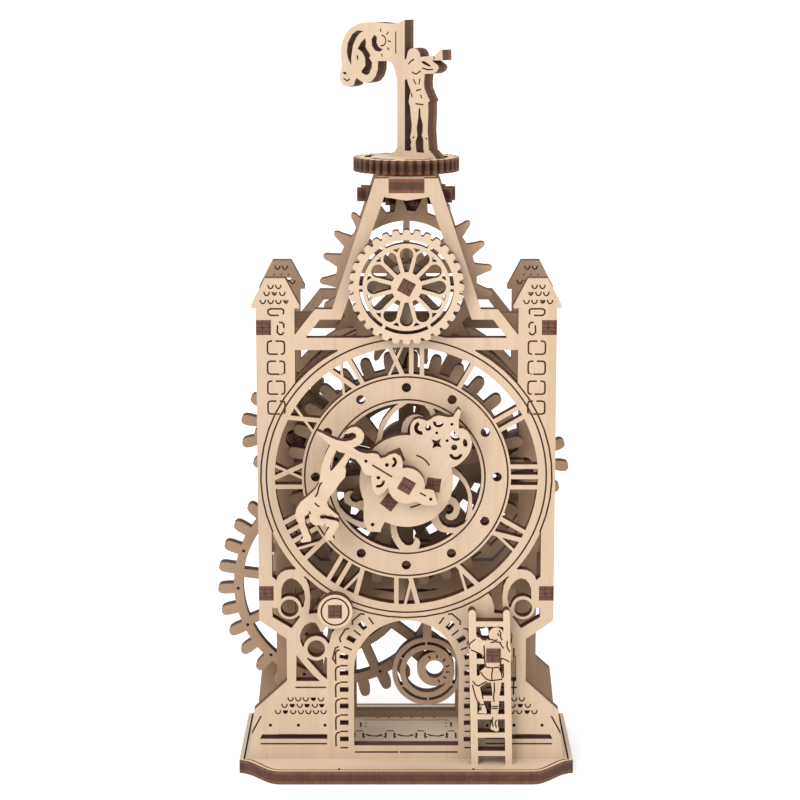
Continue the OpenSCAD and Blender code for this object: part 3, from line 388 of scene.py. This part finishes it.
# the dial's rim where it lies over the walls: a charred groove for the dial's burnt edge, with the shadow it casts on
# the walls painted into the same dark line
for a1, a2 in ((118, 203), (-23, 62), (225, 315)):
    F.arc((0, DZ), 31.1, a1, a2)


SCALE_STEP = 1.65
SCALE = ((-0.56, 0.42), (-0.5, 0.02), (-0.3, -0.28), (0, -0.4), (0.3, -0.28), (0.5, 0.02), (0.56, 0.42))


def scale_row(lines, middle, z, count, skip=()):
    """A row of small U-shaped roof scales; skip leaves out those that are cut right through."""
    for i in range(count):
        if i not in skip:
            x = middle + SCALE_STEP * (i - (count - 1) / 2)
            lines.add([(x + a, z + b) for a, b in SCALE], width=0.3)


for side in (-1, 1):
    s = side
    scale_row(F, 27.8 * s, 107.1, 2)
    scale_row(F, 27.8 * s, 105.6, 3, (1,) if s < 0 else (0,))
    scale_row(F, 27.8 * s, 103.9, 4, (3,) if s < 0 else (2,))
    # long and small rounded frames
    F.add([(s * 26.0, 101.2), (s * 25.9, 102.1), (s * 26.3, 102.4), (s * 28.7, 102.4), (s * 29.2, 102.1), (s * 29.2, 101.4), (s * 28.7, 101.0), (s * 26.9, 101.0)])
    F.add([(s * 26.9, 99.5), (s * 26.3, 99.5), (s * 25.9, 99.1), (s * 25.9, 98.3)])
    F.add([(s * 27.2, 98.9), (s * 27.3, 97.4), (s * 26.8, 96.9), (s * 26.3, 96.9), (s * 25.9, 97.4)])
    # four blocks, each a broken frame with round corners
    for i, top in enumerate((95.5, 91.2, 86.9, 82.6)):
        lo, l, r = top - 2.8, 25.8, 29.4
        gap1, gap2 = (28.4, 27.2) if i % 2 == 0 else (27.6, 26.9)
        F.add([(s * gap1, top), (s * (r - 0.6), top), (s * (r - 0.15), top - 0.15), (s * r, top - 0.6), (s * r, lo + 0.6), (s * (r - 0.15), lo + 0.15), (s * (r - 0.6), lo), (s * gap2, lo)])
        F.add([(s * (gap1 - 0.7), top), (s * (l + 0.6), top), (s * (l + 0.15), top - 0.15), (s * l, top - 0.6), (s * l, lo + 0.6), (s * (l + 0.15), lo + 0.15), (s * (l + 0.6), lo), (s * (gap2 - 0.6), lo)])
    # skirt: three rows of scales, a rule above and one below the slot
    for z, middle, n, cut in ((16.6, 21.85, 5, (3,)), (15.15, 22.35, 6, (1, 3, 5)), (13.7, 22.95, 7, (1,))):
        scale_row(F, s * middle, z, n, cut if s < 0 else tuple(n - 1 - i for i in cut))
    F.line((s * 24.1, 19.3), (s * 17.4, 19.3))
    F.line((s * 31.8, 6.5), (s * 17.3, 6.5))
    F.line((s * 31.6, 12.8), (s * 34.0, 8.3))
    # stones round the arch
    for i in range(6):
        z = 5.6 + 3.72 * i
        F.line((s * 14.35, z), (s * 12.7, z))
        F.add([(s * 14.4, z + 3.5), (s * 14.9, z + 3.45), (s * 15.25, z + 3.1), (s * 15.35, z + 2.5), (s * 15.3, z + 0.3)])
    for a in (158, 141, 124):
        t = math.radians(a if s < 0 else 180 - a)
        F.line((12.7 * math.cos(t), 23 + 12.7 * math.sin(t)), (14.6 * math.cos(t), 23 + 14.6 * math.sin(t)))
        t2 = [math.radians((a + d) if s < 0 else 180 - (a + d)) for d in (14.5, 12, 3.5, 1.2)]
        rr = (15.6, 16.2, 16.2, 15.6)
        F.add([(r * math.cos(q), 23 + r * math.sin(q)) for r, q in zip(rr, t2)])
F.line((-11.2, 4.6), (-1.7, 4.6))
F.line((-1.4, 4.6), (11.2, 4.6))
F.line((23.3, 28.2), (23.3, 17.6))
F.line((-12.0, 102.3), (-12.0, 102.6))

FRONT = ply("front_plate", "Y", -15.7 * MM, LIGHT, grain=90, seed=1.3)
engraved("front_plate", FRONT, F)

# ---------------------------------------------------------------- the other pieces
NODES = frame["nodes"]
SHEET = {
    "back_plate": (13.7, BACK_DARK_AND_SHADED, 90), "bearing_plate": (-5.8, BACK_DARK_AND_SHADED, 90), "ladder_climber": (-19.5, PALE, 90),
    "drive_gear": (3.8, INNER_DARK_AND_SHADED, 20), "left_gear": (3.8, INNER_DARK_AND_SHADED, 70), "left_pinion": (-0.4, INNER_DARK_AND_SHADED, 10),
    "centre_gear": (-9.2, INNER_DARK_AND_SHADED, 40), "minute_gear": (-0.4, INNER_DARK_AND_SHADED, 80), "right_pinion": (-0.4, INNER_DARK_AND_SHADED, 0),
    "rose_gear": (-18.9, PALE, 90), "crown_gear": (-9.2, INNER_DARK_AND_SHADED, 60), "hour_hand": (-19.8, PALE, 60),
    "minute_hand": (-24.3, PALE, 150), "hour_carrier": (-15.7, INNER_DARK_AND_SHADED, 30), "hour_retainer": (-12.6, INNER_DARK_AND_SHADED, 0),
    "pendulum": (-2.6, INNER_DARK_AND_SHADED, 90), "drive_axle_disc": (-18.9, PALE, 90), "drive_axle_cap": (16.9, LIGHT, 0),
    "minute_axle_cap": (16.9, LIGHT, 45), "upper_axle_cap": (16.9, LIGHT, 90)}
for i, (n, (y, tone, grain)) in enumerate(SHEET.items()):
    SHEET[n] = ply(n, "Y", y * MM, tone, grain=grain, seed=2.1 + 1.7 * i)
FLAT = {"base_plate": (0, LIT_TOP_TONE, 0), "top_plate": (126.8, LIGHT, 90), "long_tooth_gear": (123.6, INNER_DARK_AND_SHADED, 30),
        "platform_gear": (130.1, LIT_TOP_TONE, 0), "platform_axle_cap": (120.4, INNER_DARK_AND_SHADED, 0)}
for i, (n, (z, tone, grain)) in enumerate(FLAT.items()):
    FLAT[n] = ply(n, "Z", z * MM, tone, grain=grain, seed=51.3 + 2.3 * i)

engrave_sets = {}
H = Lines(facade(-19.8))
M = Lines(facade(-24.3))


def on_dial(lines, *strokes):
    for pts in strokes:
        lines.add([(x, z + DZ) for x, z in pts])


on_dial(H, [(2.1, 5.6), (3, 5.25), (3.7, 4.8), (4.3, 4.2), (4.9, 3.4)], [(0.8, -5.7), (2, -5.4), (3.3, -4.8)])
engrave_sets["hour_hand"] = [H]
D = Lines(facade(-18.9))
D.circle((-15.3, 37.2), 2.95, 64)
engrave_sets["drive_axle_disc"] = [D]
on_dial(M, [(-7.2, 4.5), (-3, 1.9)], [(2.8, -1.5), (4.1, -2.2)],
        [(-17.75, 0.75), (-18.2, 0.2), (-18.5, -0.6), (-18.7, -1.6), (-19.2, -2.4)],
        [(-19.3, -3.7), (-18.8, -4.2), (-18.3, -4.5)],
        [(-20.5, -5.5), (-20.2, -6.1)], [(-17.3, -8.4), (-17.1, -8.4)])
engrave_sets["minute_hand"] = [M]
# climbing figure: outlines over the ladder, belt, hem and socks
C = Lines(facade(-19.5), width=0.3)
for pts in (
        [(17.3, 31.1), (16.4, 31.15), (15.9, 31.7), (15.2, 31.9)],
        [(14.9, 31.3), (13.75, 30.4), (13.4, 29.8), (13.7, 29.1)], [(13.9, 28.9), (14.9, 28.45), (15.9, 28.05), (16.4, 27.5)],
        [(16.7, 29.9), (16.75, 28.6), (16.85, 26.6), (17.1, 25.1)],
        [(17.1, 25.05), (18.3, 24.85), (20, 25)], [(18.6, 24.7), (18.4, 23.4), (18.45, 22.1)],
        [(20.4, 26.9), (20.3, 26), (20.1, 25.2)], [(20.4, 27.05), (21.2, 26.75), (22.2, 26.2)],
        [(21.7, 30.9), (21.6, 29.8), (21.9, 29), (22.3, 28.4)],
        [(16, 24), (16.4, 23.3), (17.2, 22.4), (18.1, 22), (19.6, 22.15), (20.7, 22.35)],
        [(20, 24.8), (20.5, 23.6), (20.7, 22.5)],
        [(14.3, 21.9), (14.9, 21.1), (15.6, 20.8), (16.5, 21.4), (17.4, 21.8)],
        [(14.25, 21.1), (14.7, 19.2), (15.2, 17.7), (16, 16.6)], [(16.1, 20.2), (16.35, 19), (16.6, 17.9)],
        [(16, 16.5), (16.8, 16.7)], [(16.1, 15.3), (16.1, 16.2)],
        [(18.5, 15.75), (19.75, 15.75)], [(18.5, 16.2), (19.85, 16.2)],
        [(18.95, 21.6), (19, 19.6), (18.8, 18.2), (19, 17.2)], [(18.7, 13.8), (18.6, 12.6), (18.8, 11.6)],
        [(19.5, 13.2), (19.2, 12.4), (19.5, 11.4)],
        [(18.2, 31.3), (18.8, 31), (19.6, 31.1)], [(18.1, 30.5), (19.2, 30.7), (20.4, 30.5)],
        [(19.9, 33.3), (20.3, 32.6), (20.2, 31.8), (20.6, 31)], [(19.6, 32.6), (19.9, 32)],
        [(20.1, 30.4), (20.6, 29.6), (21, 29.2)]):
    C.add(pts)
engrave_sets["ladder_climber"] = [C]

# rear plate: roof scales and dots on its front face, sill line
B = Lines(facade(13.7))
for s in (-1, 1):
    scale_row(B, 27.8 * s, 107.3, 2)
    scale_row(B, 27.8 * s, 104.1, 4)
    for x in (26.2, 27.8, 29.4):
        B.line((s * x - 0.15, 105.7), (s * x + 0.15, 105.7), width=0.3)
    for x, z in ((28.6, 21.2), (29.9, 19.4), (27.5, 24.4)):
        B.add([(s * x, z), (s * (x + 0.5), z - 0.4), (s * (x + 0.5), z - 1.1)])
    B.line((s * 27.8, 16.4), (s * 28.1, 16.4), width=0.35)
    B.line((s * 29.6, 8.2), (s * 29.9, 8.2), width=0.35)
B.circle((0, DZ), 29.4, 144)
engrave_sets["back_plate"] = [B]

# base plate: rule inside the edge, two nibs at the front, and the marks in the doorway
P = Lines(on_top(3.0), width=0.4)
HW, HD = 36.4, 23.7


def base_rule(inset):
    pts = []
    for i in range(11):
        pts.append((HW - 9 + (9 - inset) * i / 10, HD - inset - (7.4 - inset * 0.4) * (1 - math.cos(math.radians(18 * i))) / 2))
    return pts


corner = base_rule(1.0)
P.add([(x, y) for x, y in corner] + [(x, -y) for x, y in reversed(corner)]
      + [(-x, -y) for x, y in corner] + [(-x, y) for x, y in reversed(corner)], closed=True)
for x in (-14.5, 14.5):
    P.line((x, -22.6), (x, -21.6))
P.line((-9.8, 11.3), (9.8, 11.3))
for i in range(6):
    P.line((-6.75 + 2.6 * i, 13), (-6.25 + 2.6 * i, 13), width=0.6)
for x in (-10.6, -3.6, 3.3, 10.2):
    P.line((x - 1.0, 2.3), (x - 1.0, -1.6))
    P.line((x + 1.0, 2.3), (x + 1.0, -1.6))
for x in (-7.1, -0.1, 6.8):
    P.add([(x - 1.9, 1.1), (x - 1.0, 0.1), (x + 0.6, -0.2), (x + 1.5, 0.5), (x + 1.2, 0.9)], width=0.75)
    for d in (-2.6, 2.6):
        P.line((x + d - 0.2, 0.9), (x + d + 0.2, 0.9), width=0.6)
        P.line((x + d * 0.85 - 0.2, -0.6), (x + d * 0.85 + 0.2, -0.6), width=0.6)
for s in (-1, 1):
    P.line((s * 10.3, 9.6), (s * 10.3, 6.4))
    P.line((s * 9.3, 9), (s * 8.9, 9), width=0.6)
    P.line((s * 9.3, 6.6), (s * 8.9, 6.6), width=0.6)
engrave_sets["base_plate"] = [P]

# flag and trumpeter, on the plate's front face
T = Lines(turned(-1.5, math.radians(-40), 0.5), width=0.3)
T.line((-1.7, 159.7), (-1.7, 155))
T.arc((-5.6, 157.7), 1.1, -110, 95)
for pts in (
        [(-6, 160.2), (-5.9, 159.5)], [(-4.3, 159), (-3.7, 159.6)], [(-3.9, 157.7), (-3.1, 157.5)],
        [(-4.1, 156.2), (-3.5, 155.8)], [(-5.7, 154.9), (-5.5, 154.3)],
        [(1.8, 152.9), (2.4, 153.5), (3.4, 154)], [(2.8, 151.3), (3.4, 151), (4, 150.9), (5.2, 151.6)],
        [(3.2, 149.8), (3.9, 148.7)], [(5, 150), (4.7, 148.7)], [(3.9, 147.4), (5.3, 147.7)],
        [(5.2, 146.6), (5.5, 145.8)], [(3.8, 144.6), (6, 144.5)], [(2.6, 146.9), (2.9, 145.9)],
        [(3.5, 137.6), (3, 137.3)], [(6.6, 137.5), (7, 137.2)], [(5.6, 152.2), (7.2, 151.9), (8.6, 152)],
        [(8.8, 154.7), (8.9, 154.1)], [(-16.6, 149.3), (-15.6, 148.8), (-14.7, 149.2)]):
    T.add(pts)

for n, mat in list(SHEET.items()) + list(FLAT.items()):
    if n in engrave_sets:
        engraved(n, mat, *engrave_sets[n])
    else:
        paint(n, mat)
FLAG = ply("flag_trumpeter", "Y", -1.5 * MM, PALE, grain=90, seed=77.0, spin=math.radians(-40))
engraved("flag_trumpeter", FLAG, T)
for i, (n, axis, centre, turn) in enumerate((
        ("upper_left_beam", "Y", (-30.2, 0, 98.4), 0), ("upper_right_beam", "Y", (30.2, 0, 98.4), 0),
        ("lower_left_beam", "Y", (-30.2, 0, 40.4), 0), ("lower_right_beam", "Y", (30.2, 0, 40.4), 0),
        ("pendulum_pin", "Y", (4.7, 0, 42.4), 0), ("ladder_peg", "Y", (18.75, 0, 27.65), 0),
        ("drive_axle", "Y", (-15.3, 0, 37.2), 0), ("left_axle", "Y", (-24, 0, 72.4), 20),
        ("minute_axle", "Y", (0, 0, 66.1), 60), ("hour_pegs", "Y", (5.74, 0, 65.3), -8),
        ("right_axle", "Y", (25.6, 0, 66.1), 0), ("upper_axle", "Y", (0, 0, 107.4), 62),
        ("platform_axle", "Z", (0, 0.5, 125), -40))):
    paint(n, bar(n, axis, centre, 3.1 * i, turn))

# ---------------------------------------------------------------- floor, light, camera
g = Graph("floor")
n = g.noise(g.node("ShaderNodeTexCoord").outputs["Object"], 3.0, 2.0)
g.put(g.mix(n, (0.94, 0.94, 0.94), (0.96, 0.96, 0.96)), g.bsdf.inputs["Base Color"])
g.bsdf.inputs["Emission Color"].default_value = (1, 1, 1, 1)
g.bsdf.inputs["Emission Strength"].default_value = 0.22
g.bsdf.inputs["Roughness"].default_value = 0.9
bm = bmesh.new()
bmesh.ops.create_grid(bm, x_segments=2, y_segments=2, size=14)
me = bpy.data.meshes.new("floor")
bm.to_mesh(me)
bm.free()
me.materials.append(g.mat)
floor = bpy.data.objects.new("floor", me)
scene.collection.objects.link(floor)

world = bpy.data.worlds.new("world")
scene.world = world
world.use_nodes = True
world.node_tree.nodes["Background"].inputs[0].default_value = (1.0, 1.0, 1.0, 1)
world.node_tree.nodes["Background"].inputs[1].default_value = 1.0


def area(name, place, aim, size, power, tint=(1, 1, 1)):
    d = bpy.data.lights.new(name, "AREA")
    d.shape, d.size, d.energy, d.color = "DISK", size, power, tint
    o = bpy.data.objects.new(name, d)
    scene.collection.objects.link(o)
    o.location = place
    o.rotation_euler = (Vector(aim) - Vector(place)).to_track_quat("-Z", "Y").to_euler()


area("key", (-0.55, -0.95, 0.75), (0, 0, 0.08), 0.7, 9.0)
area("fill", (0.9, -0.7, 0.35), (0, 0, 0.08), 0.8, 3.0)

cam = bpy.data.cameras.new("camera")
cam.sensor_width, cam.lens, cam.clip_start = 36, 107.763, 0.02
camera = bpy.data.objects.new("camera", cam)
scene.collection.objects.link(camera)
camera.location = (-0.00136, -0.51553, 0.17691)
camera.rotation_euler = (math.radians(79.341), 0, 0)
scene.camera = camera
scene.view_settings.view_transform = "Standard"
